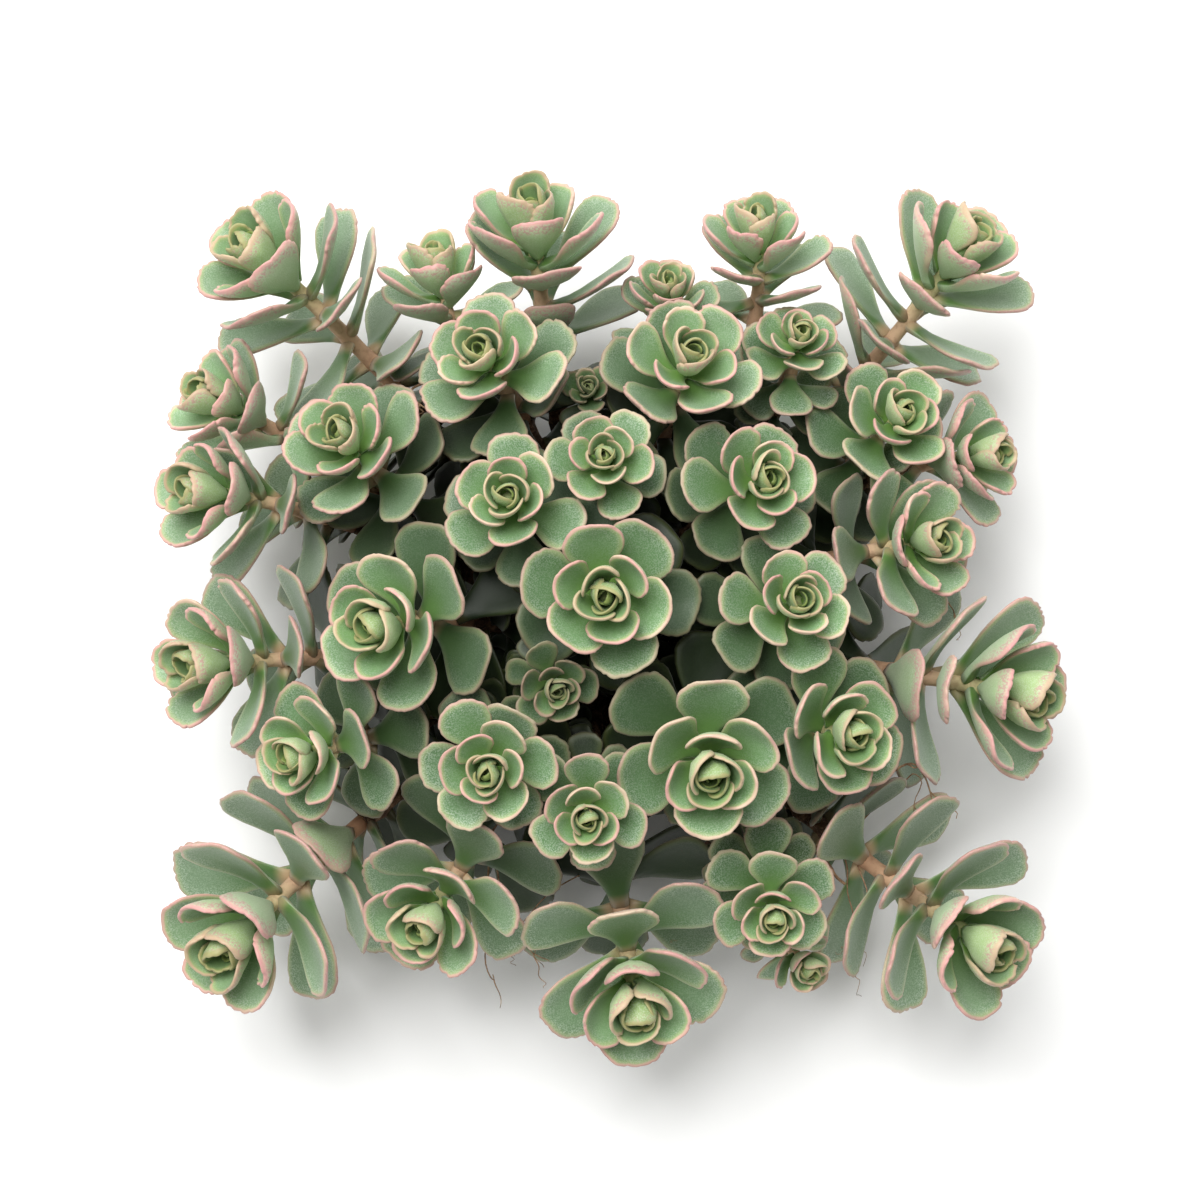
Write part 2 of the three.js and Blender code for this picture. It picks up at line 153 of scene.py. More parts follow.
# Leaf outline, as in the part.
NECK_SHARE = 0.26
FLARE_START, FLARE_EASE = 1.25, 1.6
ROUND_SHARE = 0.4
WAIST_SHARE = 0.5
APEX_REACH = 1.02

# Leaf section: a blunt, rounded margin, thick flesh at the foot, a fuller back, and a hollowed upper face
# with a shallow channel. The margin's radius and the hollows are shares of the thickness, and small leaves
# are thinner. The whole leaf is a little wavy towards its end.
LEAF_THICK = 2.2
THIN_SHARE, THIN_RUN = 0.2, 25
EDGE_RADIUS = 0.8
TAPER = 0.4
FOOT_SWELL, FOOT_REACH = 0.45, 0.2
BACK_SWELL = 0.25
DISH, DISH_RISE = 0.3, 3
CHANNEL, CHANNEL_WIDTH = 0.12, 0.2
WAVE = 0.45
WAVE_ACROSS, WAVE_ALONG = 0.45, 0.3

# Leaf ends: their shape lies between a round one, at 2, and a square one. They have a few blunt corners,
# in degrees from the leaf's right side, with almost flat edges between them, and small rounded teeth that
# are cut deeper on drawn-out stems. Pitch and depths are in mm.
SQUARENESS = 2.45
CORNERS = (14, 53, 91, 127, 166)
CORNER_DRAW = 9
CORNER_REACH = 1.035
FLATNESS = 0.55
MIN_TEETH = 3
TOOTH_PITCH = 3.2
TOOTH_SHIFT, TOOTH_DRAW = 0.3, 1.2
TOOTH_ROUND = 0.6
CALM_NOTCH, DRAWN_NOTCH = 0.22, 0.55
OLD_NOTCH, NOTCH_DRAW = 0.6, 0.3
NOTCH_HOLD = 7
DRAWN_FROM, DRAWN_FULL = 1.04, 1.14

# A leaf's age grows from whorl to whorl up to this one.
OLDEST_WHORL = 8

# The clump's outer surface is about this ellipsoid, and leaves whose blade lies well inside it are shaded
# and dull, the youngest whorls least. Small rosettes between large ones are shaded too.
HULL = np.array([115.0, 112.0, 103.0])
BLADE_MIDDLE = 0.6
SHADE_FROM, SHADE_FULL = 0.12, 0.32
SHADE_LEAD = 3
SMALL_SIZE, SMALL_SHADE = 0.75, 3.5

# Stems, crown and roots, as in the part.
ROOT_SHARE = 0.16
ROOT_HEIGHT = 15
BEND_SHARE = 0.6
CHORDS = 64
FOOT_RUN = 7
NECK_RUN = 11
NECK_RADIUS = 1.5
STEM_RADIUS = 2.1
BRANCH_RADIUS = 3
GAP = 0.3
CROWN_PROFILE = ((22, 0), (25, 5), (23, 12), (16, 20), (8, 24), (0.5, 25))
ROOTS = 7
ROOT_REACH = 46
ROOT_PROFILE = ((0.2, 9, 6), (0.55, 5, 4.6), (0.8, 2.2, 3), (1, 0.9, 1.6))

# How finely stems, roots and crown are cut.
STEM_SIDES, STEM_STEP = 12, 1.1
BRANCH_STEP = 1.5
ROOT_STEPS = 26
CROWN_SIDES, CROWN_STEPS = 64, 26

# The green stem starts inside the bud, ends a little below its foot, and swells at each whorl.
STEM_START, STEM_END = 3.5, 0.5
NODE_SWELL, NODE_REACH = 0.16, 1.6

# The woody stems are a little thinner than the solids', uneven, and ringed with narrow leaf scars.
BRANCH_SINK = 0.12
SCAR_HEIGHT, SCAR_STEP, SCAR_EDGE = 0.22, 6.5, 6
UNEVEN_THREE, UNEVEN_FIVE = 0.1, 0.07

# Size and depth of the lumps on the crown and on the branches.
CROWN_LUMPS = (14, 0.8)
BRANCH_LUMPS = (9, 0.075)

# Dry threads, one row each: a place that it passes, its loose end, its radius and its number of twigs.
THREADS = (
    ((84, 12, 46), (89, -4, 42), 0.3, 1),
    ((75, -40, 44), (84, -51, 42), 0.42, 3),
    ((78, -42, 40), (77, -54, 38), 0.25, 1),
    ((-28, -84, 41), (-26, -92, 40), 0.3, 1),
    ((-23, -74, 42), (-13, -88, 36), 0.3, 2),
    ((-16, -74, 38), (-22, -86, 34), 0.22, 1),
    ((62, -70, 36), (64, -91, 32), 0.25, 2),
    ((66, -72, 40), (61, -84, 36), 0.22, 1),
    ((54, -60, 42), (61, -70, 44), 0.9, 0),
    ((56, -64, 38), (54, -72, 40), 0.7, 0),
    ((-47, 56, 46), (-43, 50, 50), 0.5, 1),
)
THREAD_STEPS, THREAD_SIDES, TWIG_SIDES = 18, 6, 5
THREAD_WAVE = 0.8
TWIG_SPREAD = 3.5

# Withered leaves, one row each: the stem's number from 0, the run of their foot and which of a whorl.
WITHERED = (
    (31, 62, 1),
    (31, 68, 0),
    (29, 58, 2),
    (30, 60, 1),
    (17, 52, 2),
    (28, 46, 1),
    (32, 60, 2),
    (33, 62, 1),
    (18, 55, 0),
)
WITHERED_WHORL = 20
WITHERED_LEAF = (12, 7, 95, 215, 70)

# The photograph's view: straight at the middle of the clump from high above its front.
CAMERA_ELEVATION = 80
CAMERA_DISTANCE = 0.7
CAMERA_LENS = 85
CAMERA_TARGET = Vector((0, 0, 0.055))

# The studio, in metres and watts: a wide floor, an even sky, a broad light from high at the back left and a
# faint one from behind.
FLOOR_HALF = 3.0
SKY_STRENGTH = 0.42
LIGHTS = (
    ("key", (-0.25, 0.3, 1.2), 0.8, 21),
    ("sheen", (0.15, 0.95, 0.5), 1.0, 3),
)


def unit(vector):
    return vector / np.linalg.norm(vector)


def draw(*keys):
    """A repeatable draw in -1..1, as in the part. Its keys are whole numbers that tell the draws apart."""
    value = SEED
    for key in keys:
        value = (value ^ (key + 40503)) * 0x85EBCA6B & 0xFFFFFFFF
        value ^= value >> 13
        value = value * 0xC2B2AE35 & 0xFFFFFFFF
        value ^= value >> 16
    return value / 2147483648 - 1


def spoke(axis, azimuth):
    """The horizontal direction of an azimuth in degrees, tipped over as +Z is tipped onto the axis."""
    flat = np.array([math.cos(math.radians(azimuth)), math.sin(math.radians(azimuth)), 0.0])
    return flat - (axis @ flat) / (1 + axis[2]) * (axis + UP)


class Stem:
    """A stem's curve, from its tip down to the crown."""

    def __init__(self, index, row):
        x, y, z, lean, heading, self.turn, self.size, self.whorls, self.drawn = row
        self.index = index
        self.tip = np.array([x, y, z], float)
        self.root = np.array([ROOT_SHARE * x, ROOT_SHARE * y, ROOT_HEIGHT])
        lean, heading = math.radians(lean), math.radians(heading)
        level = math.sin(lean)
        axis = np.array([level * math.cos(heading), level * math.sin(heading), math.cos(lean)])
        self.bend = self.tip - axis * BEND_SHARE * np.linalg.norm(self.tip - self.root)
        knots = self.point(np.arange(CHORDS + 1) / CHORDS)
        self.runs = np.concatenate([[0], np.cumsum(np.linalg.norm(np.diff(knots, axis=0), axis=1))])
        self.foot = self.down(WHORLS[self.whorls - 1][0]) + FOOT_RUN

    def down(self, run):
        """How far down this stem a whorl stands that stands at a run on a stem of size 1."""
        return (run + STRETCH * (self.drawn - 1) * max(0, run - WHORLS[min(WHORLS)][0])) * self.size

    def point(self, t):
        t = np.asarray(t, float)[..., None]
        return (1 - t) ** 2 * self.tip + 2 * t * (1 - t) * self.bend + t**2 * self.root

    def at(self, run):
        """The centre line's point a run down from the tip, and the upward direction there."""
        i = int(np.clip(np.searchsorted(self.runs, run), 1, CHORDS))
        share = (run - self.runs[i - 1]) / (self.runs[i] - self.runs[i - 1])
        t = (i - 1 + share) / CHORDS
        return self.point(t), unit((1 - t) * (self.tip - self.bend) + t * (self.bend - self.root))

    def radius(self, run):
        if run > self.foot:
            share = min(1, (run - self.foot) / (self.runs[-1] - self.foot))
            return STEM_RADIUS + (BRANCH_RADIUS - STEM_RADIUS) * math.sqrt(share)
        neck = NECK_RUN * self.size
        thin = NECK_RADIUS * self.size
        return thin + (STEM_RADIUS - thin) * max(0, (run - neck) / (self.foot - neck))


class Leaf:
    """A bent and cupped leaf on a stem, in the part's own terms."""

    def __init__(self, stem, whorl, which, row, shrink=1.0, fold=0.0, swing=0.0, roll=0.0):
        run, length, width, low, high, cup = row
        run = stem.down(run)
        self.keys = (stem.index, whorl, which)
        self.whorl, self.size = whorl, stem.size
        self.roll = math.radians(roll)
        self.foot, self.axis = stem.at(run + STAGGER * (which - 1) * stem.size)
        azimuth = stem.turn + LEAF_TURN * which + WHORL_TURN * whorl
        azimuth = azimuth + DRAW_AZIMUTH * draw(*self.keys, 1) + swing
        self.radial = spoke(self.axis, azimuth)
        self.side = np.cross(self.axis, self.radial)
        past = stem.drawn - 1
        upright = 1 - UPRIGHT * past * min(1, MIDDLE_WHORL / max(whorl, 1)) ** 2
        slim = 1 - SLIM * past
        self.long = length * stem.size * stem.drawn * shrink * (1 + DRAW_LENGTH * draw(*self.keys, 2))
        self.wide = width * stem.size * slim * shrink * (1 + DRAW_WIDTH * draw(*self.keys, 3))
        self.seat = SEAT_SHARE * stem.radius(run)
        self.low = math.radians(low * upright + fold + DRAW_ANGLE * draw(*self.keys, 4))
        self.bend = math.radians((high - low) * upright) / self.long
        self.cup = math.radians(cup) / (self.wide / 2)
        self.thick = LEAF_THICK * min(1, THIN_SHARE + self.long / THIN_RUN)
        self.round = self.long - ROUND_SHARE * self.wide
        self.middle = self.points(0, BLADE_MIDDLE * self.long, 0)
        self.sun = max(0, min(1, (stem.drawn - DRAWN_FROM) / (DRAWN_FULL - DRAWN_FROM)))
        cut = self.sun * (1 if whorl <= MIDDLE_WHORL else OLD_NOTCH)
        self.notch = CALM_NOTCH + (DRAWN_NOTCH - CALM_NOTCH) * cut
        self.notch *= 1 + NOTCH_DRAW * draw(*self.keys, 5)

    @property
    def age(self):
        """From 0 for the youngest leaves to 1 for the oldest."""
        return min(1, (self.whorl - min(BUD_WHORLS)) / (OLDEST_WHORL - min(BUD_WHORLS)))

    @property
    def shade(self):
        """From 0 in the open to 1 deep inside the clump. Small inner rosettes are shaded by larger ones."""
        depth = 1 - np.linalg.norm(self.middle / HULL)
        inside = float(np.clip((depth - SHADE_FROM) / (SHADE_FULL - SHADE_FROM), 0, 1))
        inward = 1 - np.linalg.norm(self.middle[:2] / HULL[:2])
        small = SMALL_SHADE * max(0, inward) * (SMALL_SIZE - self.size)
        covered = min(1, (self.whorl + SHADE_LEAD) / (MIDDLE_WHORL + SHADE_LEAD))
        return max(inside * covered, small)

    def half_width(self, y):
        t = np.clip(np.asarray(y) / self.round, 0, 1)
        flare = np.sin(math.pi / 2 * t**FLARE_START) ** FLARE_EASE
        return self.wide / 2 * (NECK_SHARE + (1 - NECK_SHARE) * flare)

    def points(self, x, y, h):
        """Points x across, y along and h above the leaf's bent and cupped middle sheet."""
        x, y, h = (np.asarray(value, float)[..., None] for value in (x, y, h))
        angle = self.low + self.bend * y
        rise = (np.sin(angle) - math.sin(self.low)) / self.bend
        out = self.seat + (math.cos(self.low) - np.cos(angle)) / self.bend
        turn = self.cup * x
        inward = (1 - np.cos(turn)) / self.cup + h * np.cos(turn)
        across = np.sin(turn) / self.cup - h * np.sin(turn)
        inward = inward + across * math.sin(self.roll)
        return (
            self.foot
            + (out - inward * np.cos(angle)) * self.radial
            + (rise + inward * np.sin(angle)) * self.axis
            + across * self.side
        )

    def marks(self):
        """Three points that the part's own solid has: the apex and the two sides of the waist."""
        waist = WAIST_SHARE * self.round
        half = float(self.half_width(waist))
        apex = self.round + (self.long - self.round) * APEX_REACH
        return self.points([0, half, -half], [apex, waist, waist], [0, 0, 0])

    def samples(self, rows=8, columns=5):
        """Points spread over the middle sheet, clear of its foot."""
        y = np.repeat(np.linspace(0.3, 0.97, rows) * self.long, columns)
        past = np.clip((y - self.round) / (self.long - self.round), 0, 1)
        x = np.tile(np.linspace(-0.95, 0.95, columns), rows) * self.half_width(y) * np.sqrt(1 - past**2)
        return self.points(x, y, 0 * x)


def settled_leaf(stem, whorl, which, corners):
    """The leaf as the part settled it, found by the corners that its solid has, or None."""
    for shrink in SHRINKS:
        for swing in SWINGS:
            for fold in FOLDS:
                leaf = Leaf(stem, whorl, which, WHORLS[whorl], shrink, fold, swing)
                if all(corners.find(mark * MM)[2] < MATCH * MM for mark in leaf.marks()):
                    return leaf
    return None


def corner_tree(node):
    """The corners of a node's solid, ready to be searched."""
    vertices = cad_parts[node].data.vertices
    tree = kdtree.KDTree(len(vertices))
    for i, vertex in enumerate(vertices):
        tree.insert(vertex.co, i)
    tree.balance()
    return tree


def node_name(stem):
    return f"leafy_stem_{stem.index + 1:02d}"


def settled_leaves(stem):
    """Every leaf of the stem that the part has, plus the leaves inside its bud."""
    corners = corner_tree(node_name(stem))
    leaves = []
    for whorl, (run, length, width, low, high, cup) in BUD_WHORLS.items():
        for which, curl in enumerate(BUD_CURL[whorl]):
            row = (run, length, width, low, high + curl, cup)
            leaves.append(Leaf(stem, whorl, which, row, roll=BUD_ROLL))
    for whorl in range(min(WHORLS), stem.whorls):
        found = [settled_leaf(stem, whorl, which, corners) for which in range(LEAVES_A_WHORL)]
        leaves += [leaf for leaf in found if leaf]
    return leaves


class Taken:
    """The space that leaves take, as the points of cells that are one clearance wide."""

    def __init__(self, leaves):
        self.cells = {}
        for leaf in leaves:
            self.add(leaf.samples())

    def add(self, points):
        for point in points:
            self.cells.setdefault(tuple(np.floor(point / OLD_CLEAR).astype(int)), []).append(point)

    def free(self, points):
        """Whether points are clear of the floor and of everything added before."""
        return points[:, 2].min() >= OLD_CLEAR / 2 and not any(self.meets(point) for point in points)

    def meets(self, point):
        i, j, k = np.floor(point / OLD_CLEAR).astype(int)
        for near in np.ndindex(3, 3, 3):
            for other in self.cells.get((i + near[0] - 1, j + near[1] - 1, k + near[2] - 1), ()):
                if math.dist(point, other) < OLD_CLEAR:
                    return True
        return False


def old_leaves(stem, taken):
    """Old leaves below the last whorl, where there is room for them."""
    length, width, low, high, cup = OLD_LEAF
    leaves = []
    for step in range(OLD_WHORLS):
        whorl = stem.whorls + step
        run = WHORLS[stem.whorls - 1][0] + OLD_STEP * (step + 1)
        if stem.down(run) > stem.runs[-1] - OLD_STEP:
            break
        smaller = 1 - OLD_SHRINK * step
        row = (run, length * smaller, width * smaller, low, high, cup)
        for which in range(LEAVES_A_WHORL):
            if draw(stem.index, whorl, which, 51) > 2 * OLD_SHARE - 1:
                continue
            for tried in OLD_TRIES:
                leaf = Leaf(stem, whorl, which, row, *tried)
                if taken.free(leaf.samples()):
                    taken.add(leaf.samples())
                    leaves.append(leaf)
                    break
    return leaves


class Pattern:
    """How a leaf's skin is cut: columns round its outline, and rings from its spine out over the margin."""

    def __init__(self, side_steps, tip_steps, upper, lower):
        self.shares = np.arange(side_steps) / side_steps
        self.angles = np.linspace(0, 180, tip_steps + 1)
        self.upper, self.lower = upper, lower
        columns = 2 * side_steps + tip_steps + 1
        spine = [min(i, side_steps, columns - 1 - i) for i in range(columns)]
        up_rings = [spine]
        start = side_steps + 1
        for _ in upper:
            up_rings.append(list(range(start, start + columns)))
            start += columns
        low_rings = [up_rings[-1]]
        for _ in lower:
            low_rings.append(list(range(start, start + columns)))
            start += columns
        low_rings.append([start + i for i in spine])
        rings = up_rings + low_rings[1:]
        self.faces = []
        for inner, outer in zip(rings, rings[1:]):
            for i in range(columns - 1):
                face = [inner[i], outer[i], outer[i + 1], inner[i + 1]]
                self.faces.append(list(dict.fromkeys(face)))
        cap = [ring[0] for ring in rings] + [ring[-1] for ring in rings[-2:0:-1]]
        self.faces.append(cap[::-1])

    def skin(self, leaf):
        """The leaf's vertices in the order of the faces, and their edge and along values."""
        x, y, spine, notch = self.outline(leaf)
        middle = np.concatenate([self.shares, [1.0]]) * leaf.round
        half = leaf.half_width(middle)
        span = np.hypot(x, y - spine)
        rows = [self.spread(leaf, 0 * middle, middle, half, 0, 1)]
        for side, rings in ((1, self.upper), (-1, self.lower)):
            for rho in rings:
                reach = rho - notch * rho**NOTCH_HOLD
                rows.append(self.spread(leaf, x * reach, spine + (y - spine) * reach, span, rho, side))
        rows.append(self.spread(leaf, 0 * middle, middle, half, 0, -1))
        return [np.concatenate(parts) for parts in zip(*rows)]

    def reach(self, corners):
        """How far the squarish end and its blunt corners reach, by angle, as a share of a full round."""
        edge = np.clip(np.searchsorted(corners, self.angles) - 1, 0, len(corners) - 2)
        start, end = np.take(corners, edge), np.take(corners, edge + 1)
        middle, half = (start + end) / 2, (end - start) / 2
        past = np.clip(self.angles - middle, -half, half)
        chord = np.cos(np.radians(half)) / np.cos(np.radians(past))
        reach = CORNER_REACH * (1 - FLATNESS * (1 - chord))
        turn = np.radians(self.angles)
        square = (np.abs(np.cos(turn)) ** SQUARENESS + np.sin(turn) ** SQUARENESS) ** (-1 / SQUARENESS)
        return square * (1 + (reach - 1) * self.fade(corners))

    def fade(self, corners):
        """From 0 at the leaf's sides to 1 from the first corner on, for what belongs to its end."""
        return np.clip(np.minimum(self.angles, 180 - self.angles) / corners[0], 0, 1)

    def notches(self, leaf, corners):
        """How deep the notches between the teeth are, by angle, as a share of a full round."""
        first = corners[0]
        teeth = max(MIN_TEETH, round(math.pi * leaf.wide / 2 / TOOTH_PITCH))
        spread = (180 - 2 * first) / teeth
        places, depths = [], []
        for i in range(teeth + 1):
            places.append(first + spread * (i + TOOTH_SHIFT * draw(*leaf.keys, 70 + i)))
            depths.append(leaf.notch * max(0, 1 + TOOTH_DRAW * draw(*leaf.keys, 100 + i)))
        inner = np.clip(self.angles, places[0], places[-1] - 1e-6)
        tooth = np.searchsorted(places, inner, "right") - 1
        start, end = np.take(places, tooth), np.take(places, tooth + 1)
        share = (inner - start) / (end - start)
        depth = np.interp(inner, places, depths) * (1 - np.sin(math.pi * share) ** TOOTH_ROUND)
        return depth / (leaf.wide / 2) * self.fade(corners)

    def outline(self, leaf):
        """The outline's x and y, the y of the spine that each column starts from, and the notches."""
        side_y = self.shares * leaf.round
        side_x = leaf.half_width(side_y)
        angles = np.radians(self.angles)
        corners = [corner + CORNER_DRAW * draw(*leaf.keys, 60 + i) for i, corner in enumerate(CORNERS)]
        reach = self.reach(corners)
        tip_x = leaf.wide / 2 * np.cos(angles) * reach
        tip_y = leaf.round + (leaf.long - leaf.round) * np.sin(angles) * reach
        x = np.concatenate([side_x, tip_x, -side_x[::-1]])
        y = np.concatenate([side_y, tip_y, side_y[::-1]])
        spine = np.minimum(y, leaf.round)
        spine[len(side_y) : len(side_y) + len(angles)] = leaf.round
        notch = np.concatenate([0 * side_x, self.notches(leaf, corners), 0 * side_x])
        return x, y, spine, notch

    @staticmethod
    def spread(leaf, x, y, span, rho, side):
        """One ring's points, with their along and edge values: mm from the leaf's edge, negative below."""
        along = y / leaf.long
        inset = (1 - rho) * span
        body = np.sqrt(1 - (1 - np.minimum(1, inset / (EDGE_RADIUS * leaf.thick))) ** 2)
        body = body * (1 - TAPER * rho**2) * (1 + FOOT_SWELL * np.exp(-((along / FOOT_REACH) ** 2)))
        if side > 0:
            dish = DISH * (1 - rho**2) * np.clip(DISH_RISE * along, 0, 1)
            groove = np.exp(-((x / (CHANNEL_WIDTH * leaf.wide)) ** 2))
            channel = CHANNEL * groove * np.sin(math.pi * np.clip(along, 0, 1))
            h = leaf.thick * (0.5 * body - dish - channel)
        else:
            h = -0.5 * leaf.thick * body * (1 + BACK_SWELL - BACK_SWELL * rho)
        phase = math.pi * draw(*leaf.keys, 80)
        wave = np.sin(WAVE_ACROSS * x + WAVE_ALONG * y + phase)
        h = h + WAVE * (rho * along) ** 2 * wave
        return leaf.points(x, y, h), inset * side, along


# How finely leaves are cut: the open ones, those of the bud, low ones and the old ones deep inside.
FINE = Pattern(7, 36, (0.4, 0.7, 0.86, 0.94, 0.98, 1), (0.98, 0.92, 0.76, 0.42))
BUD = Pattern(5, 27, (0.5, 0.78, 0.92, 0.98, 1), (0.97, 0.86, 0.55))
PLAIN = Pattern(6, 24, (0.5, 0.8, 0.94, 1), (0.95, 0.75))
HIDDEN = Pattern(5, 14, (0.6, 0.93, 1), (0.85,))


class Mesh:
    """Vertices, faces and vertex values that are gathered for one piece."""

    VALUES = ("edge", "along", "age", "shade", "sun", "tint")

    def __init__(self):
        self.points, self.faces, self.slots = [], [], []
        self.values = {name: [] for name in self.VALUES}
        self.count = 0

    def add(self, points, faces, slot=0, **values):
        """Adds a closed skin. Values that aren't given are 0 on it."""
        self.faces += [[i + self.count for i in face] for face in faces]
        self.slots += [slot] * len(faces)
        self.points.append(points)
        for name in self.VALUES:
            self.values[name].append(np.broadcast_to(values.get(name, 0.0), len(points)))
        self.count += len(points)

    def build(self, name, materials):
        """The gathered skins as one object, in metres."""
        mesh =bpy.data.meshes.new(name)
        mesh.from_pydata((np.concatenate(self.points) * MM).tolist(), [], self.faces)
        for value, parts in self.values.items():
            layer = mesh.attributes.new(value, "FLOAT", "POINT")
            layer.data.foreach_set("value", np.concatenate(parts).astype(np.float32))
        for material in materials:
            mesh.materials.append(material)
        mesh.polygons.foreach_set("material_index", self.slots)
        mesh.polygons.foreach_set("use_smooth", [True] * len(self.faces))
        mesh.update()
        piece = bpy.data.objects.new(name, mesh)
        bpy.context.scene.collection.objects.link(piece)
        return piece


def circle(sides):
    """Even turns round a circle, in radians."""
    return 2 * math.pi * np.arange(sides) / sides


def closed_skin(rings):
    """Vertices and faces of the bands between rings of points, and of a cap at each end."""
    sides = len(rings[0])
    faces = []
    for ring in range(len(rings) - 1):
        for i in range(sides):
            a, b = ring * sides + i, ring * sides + (i + 1) % sides
            faces.append([a, b, b + sides, a + sides])
    faces.append(list(range(sides))[::-1])
    faces.append([len(rings) * sides - sides + i for i in range(sides)])
    return np.concatenate(rings), faces


def tube(points, radii, sides):
    """A closed tube along points, as vertices and faces. A radius is one number, or one for each side."""
    points = np.asarray(points, float)
    tangents = np.gradient(points, axis=0)
    across = np.cross(tangents[0], [0.3, -0.5, 0.81])
    cos, sin = np.cos(circle(sides))[:, None], np.sin(circle(sides))[:, None]
    rings = []
    for point, tangent, radius in zip(points, tangents, radii):
        tangent = unit(tangent)
        across = unit(across - tangent * (across @ tangent))
        other = np.cross(tangent, across)
        radius = np.broadcast_to(radius, sides)[:, None]
        rings.append(point + radius * (cos * across + sin * other))
    return closed_skin(rings)


def stem_skin(stem):
    """The green stem, a little swollen at each whorl."""
    nodes = [stem.down(row[0]) for whorl, row in WHORLS.items() if whorl < stem.whorls]
    runs = np.arange(STEM_START * stem.size, stem.foot + STEM_END, STEM_STEP)
    radii = []
    for run in runs:
        swell = NODE_SWELL * sum(math.exp(-(((run - node) / NODE_REACH) ** 2)) for node in nodes)
        radii.append(stem.radius(min(run, stem.foot)) * (1 + swell))
    points = np.array([stem.at(run)[0] for run in runs])
    return tube(points[::-1], radii[::-1], STEM_SIDES), (runs - runs[0]) / (stem.foot - runs[0])


def leafy_piece(stem, leaves, materials):
    """A green stem with all its leaves, each cut as finely as it shows."""
    mesh = Mesh()
    for leaf in leaves:
        if leaf.whorl >= stem.whorls:
            pattern = HIDDEN
        elif leaf.whorl > MIDDLE_WHORL:
            pattern = PLAIN
        else:
            pattern = FINE if leaf.whorl in WHORLS else BUD
        points, edge, along = pattern.skin(leaf)
        values = {"edge": edge, "along": along, "age": leaf.age, "shade": leaf.shade, "sun": leaf.sun}
        mesh.add(points, pattern.faces, 0, tint=draw(*leaf.keys, 90), **values)
    (points, faces), down = stem_skin(stem)
    mesh.add(points, faces, 1, along=np.repeat(down[::-1], STEM_SIDES))
    piece = mesh.build(f"leaves_{stem.index + 1:02d}", materials)
    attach(piece, "root")
    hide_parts(node_name(stem))
    return piece


def rough(points, keys, size, depth):
    """A smooth, repeatable unevenness in mm: crossing waves, each shorter and lower than the last."""
    total = np.zeros(len(points))
    for i in range(5):
        way = unit(np.array([draw(*keys, i, k) for k in range(3)]))
        phase = 3 * draw(*keys, i, 7)
        total += np.sin(points @ way * 2 * math.pi / size * (1 + 0.5 * i) + phase) / (1 + 0.4 * i)
    return depth * total / 2


def along_rows(rows, steps):
    """Rows of numbers in between the given ones, evenly spread."""
    places = np.linspace(0, len(rows) - 1, steps)
    return np.stack([np.interp(places, np.arange(len(rows)), column) for column in rows.T], 1)


def branch_skin(stem):
    """The woody stretch of a stem, ringed with the scars of fallen leaves."""
    runs = np.arange(stem.foot + GAP, stem.runs[-1], BRANCH_STEP)
    turns = circle(STEM_SIDES)
    radii = []
    for i, run in enumerate(runs):
        scar = SCAR_HEIGHT * max(0, math.cos(2 * math.pi * run / (SCAR_STEP * stem.size))) ** SCAR_EDGE
        uneven = UNEVEN_THREE * np.sin(3 * turns + 0.9 * i + stem.index)
        uneven = uneven + UNEVEN_FIVE * np.sin(5 * turns - 0.6 * i)
        radii.append(stem.radius(run) * (1 + uneven) + scar - BRANCH_SINK)
    return tube([stem.at(run)[0] for run in runs], radii, STEM_SIDES)


def crown_skin():
    """The crown: a dome, lumpy above its flat underside."""
    turns = circle(CROWN_SIDES)
    rings = []
    for radius, z in along_rows(np.array(CROWN_PROFILE, float), CROWN_STEPS):
        ring = np.stack([radius * np.cos(turns), radius * np.sin(turns), np.full(CROWN_SIDES, z)], 1)
        push = rough(ring, (401,), *CROWN_LUMPS) * min(1, z / 4)
        ring[:, :2] *= (1 + push / max(radius, 4))[:, None]
        rings.append(ring)
    return closed_skin(rings)


def root_skin(index):
    """A root that tapers away from the crown, flat where it would go below the floor."""
    heading = 360 * (index + 0.25 * draw(index, 21)) / ROOTS
    reach = ROOT_REACH * (1 + 0.12 * draw(index, 22))
    knots = []
    for i, (share, z, radius) in enumerate(ROOT_PROFILE):
        x, y, _ = spoke(UP, heading + 10 * share * draw(index, i, 23)) * reach * share
        knots.append([x, y, z, radius])
    path = along_rows(np.array(knots), ROOT_STEPS)
    turns = circle(STEM_SIDES)
    radii = [radius * (0.94 + 0.06 * np.sin(3 * turns + i)) for i, radius in enumerate(path[:, 3])]
    points, faces = tube(path[:, :3], radii, STEM_SIDES)
    points[:, 2] = np.maximum(points[:, 2], 0)
    return points, faces


def woody_piece(stems, material):
    """The rootstock: branches, crown and roots."""
    mesh = Mesh()
    for stem in stems:
        points, faces = branch_skin(stem)
        mesh.add(points + rough(points, (stem.index, 402), *BRANCH_LUMPS)[:, None], faces)
    mesh.add(*crown_skin())
    for index in range(ROOTS):
        mesh.add(*root_skin(index))
    piece = mesh.build("woody_crown", [material])
    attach(piece, "root")
    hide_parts("rootstock")
    return piece


def thread_path(start, place, end, keys):
    """A wavy line from a start through a place to a loose end."""
    share = np.linspace(0, 1, THREAD_STEPS)
    t = share[:, None]
    pull = 2 * place - (start + end) / 2
    line = (1 - t) ** 2 * start + 2 * t * (1 - t) * pull + t**2 * end
    for k in range(3):
        wave = np.sin(9 * share * (1.3 + draw(*keys, k)) + 3 * draw(*keys, k + 3))
        line[:, k] += THREAD_WAVE * share * wave
    return line


